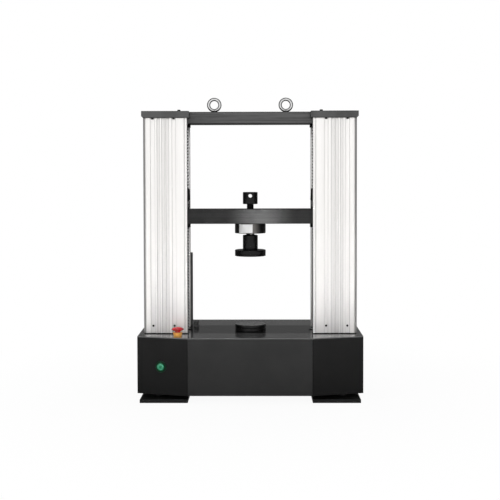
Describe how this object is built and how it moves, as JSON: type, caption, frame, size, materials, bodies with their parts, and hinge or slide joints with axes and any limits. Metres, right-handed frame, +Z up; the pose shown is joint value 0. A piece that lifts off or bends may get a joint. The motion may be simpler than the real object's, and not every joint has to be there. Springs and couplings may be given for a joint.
{
  "type": "compression testing machine",
  "caption": "Table-top two-column compression testing machine: crosshead on ball screws in fluted column covers, load cell, round platens, dark sheet-metal base with stop and power buttons.",
  "frame": {"origin": "centre of the bounding box's bottom face, on the floor under the feet", "axes": "+X to the machine's right as seen from the front, +Y to the back, +Z up along the load axis"},
  "size_m": [0.71, 0.4, 0.9611],
  "materials": {
    "case_paint": "fine satin powder coat, near black",
    "table_black": "blackened steel, satin",
    "foot_black": "black paint, satin",
    "column_aluminium": "bright satin anodised extrusion",
    "cap_grey": "dark grey fine texture paint",
    "beam_grey": "dark grey paint, faint brush marks",
    "bright_steel": "turned and ground steel",
    "zinc_steel": "bright zinc plated",
    "black_steel": "black oxide steel, oiled",
    "cell_body": "black anodised ring",
    "seal_rubber": "matt black",
    "belt_rubber": "matt black",
    "frame_steel": "grey primer",
    "drive_grey": "bead-blasted aluminium",
    "stop_red": "smooth moulded red",
    "stop_yellow": "smooth moulded yellow orange",
    "button_green": "translucent green lens",
    "black_plastic": "fine grained black plastic",
    "control_grey": "dark grey texture paint",
    "connector_metal": "nickel plated"
  },
  "bodies": {
    "base": {"base_pan": "frame_steel", "front_panel": "case_paint", "left_corner_panel": "case_paint", "right_corner_panel": "case_paint", "left_side_panel": "case_paint", "right_side_panel": "case_paint", "rear_panel": "case_paint", "deck_cover": "case_paint", "table_beam": "table_black", "left_base_frame": "frame_steel", "right_base_frame": "frame_steel", "left_foot": "foot_black", "right_foot": "foot_black", "foot_spacers": "foot_black", "foot_bolts": "black_steel", "left_column_cover": "column_aluminium", "right_column_cover": "column_aluminium", "column_gaskets": "seal_rubber", "left_cap": "cap_grey", "right_cap": "cap_grey", "guide_columns": "bright_steel", "guide_nuts": "zinc_steel", "top_beam": "beam_grey", "left_eye_bolt": "zinc_steel", "right_eye_bolt": "zinc_steel", "upper_bearings": "black_steel", "lower_bearings": "black_steel", "motor": "black_plastic", "motor_bracket": "frame_steel", "drive_belt": "belt_rubber", "drive_unit": "drive_grey", "estop_collar": "stop_yellow", "power_bezel": "black_plastic", "control_box": "control_grey", "sensor_connectors": "connector_metal", "mains_inlet": "black_plastic", "rear_ports": "connector_metal", "lower_platen": "black_steel", "limit_sensors": "black_plastic"},
    "crosshead_unit": {"crosshead": "beam_grey", "ball_nuts": "bright_steel", "guide_bushes": "bright_steel", "nut_boots": "seal_rubber", "load_cell": "cell_body", "load_cell_bolts": "black_steel", "upper_adapter": "black_steel", "compression_stem": "black_steel", "upper_platen": "black_steel", "limit_flag": "bright_steel"},
    "left_screw_unit": {"left_screw": "bright_steel", "left_screw_pulley": "bright_steel"},
    "right_screw_unit": {"right_screw": "bright_steel", "right_screw_pulley": "bright_steel"},
    "motor_shaft_unit": {"motor_pulley": "bright_steel"},
    "estop_slider": {"estop_plunger": "black_plastic"},
    "estop_knob": {"estop_head": "stop_red"},
    "power_button_unit": {"power_button": "button_green"}
  },
  "joints": [
    {"name": "crosshead_slide", "type": "slide", "parent": "base", "child": "crosshead_unit", "axis": [0, 0, 1], "range_m": [-0.218, 0.195]},
    {"name": "left_screw_turn", "type": "hinge", "parent": "base", "child": "left_screw_unit", "pos_m": [-0.215, -0.034, 0.5], "axis": [0, 0, 1], "range_deg": [-7021, 7849]},
    {"name": "right_screw_turn", "type": "hinge", "parent": "base", "child": "right_screw_unit", "pos_m": [0.215, -0.034, 0.5], "axis": [0, 0, 1], "range_deg": [-7021, 7849]},
    {"name": "motor_turn", "type": "hinge", "parent": "base", "child": "motor_shaft_unit", "pos_m": [0, 0.118, 0.06], "axis": [0, 0, 1], "range_deg": [-14041, 15697]},
    {"name": "estop_press", "type": "slide", "parent": "base", "child": "estop_slider", "axis": [0, 0, -1], "range_m": [0, 0.004]},
    {"name": "estop_twist", "type": "hinge", "parent": "estop_slider", "child": "estop_knob", "pos_m": [-0.228, -0.156, 0.222], "axis": [0, 0, -1], "range_deg": [0, 30], "stiffness_Nm_per_rad": 0.05},
    {"name": "power_press", "type": "slide", "parent": "base", "child": "power_button_unit", "axis": [0.251, 0.968, 0], "range_m": [0, 0.002], "stiffness_N_per_m": 600}
  ],
  "couplings": [
    {"joint": "left_screw_turn", "follows": "crosshead_slide", "rad_per_m": -628.32},
    {"joint": "right_screw_turn", "follows": "crosshead_slide", "rad_per_m": -628.32},
    {"joint": "motor_turn", "follows": "crosshead_slide", "rad_per_m": -1256.6}
  ]
}
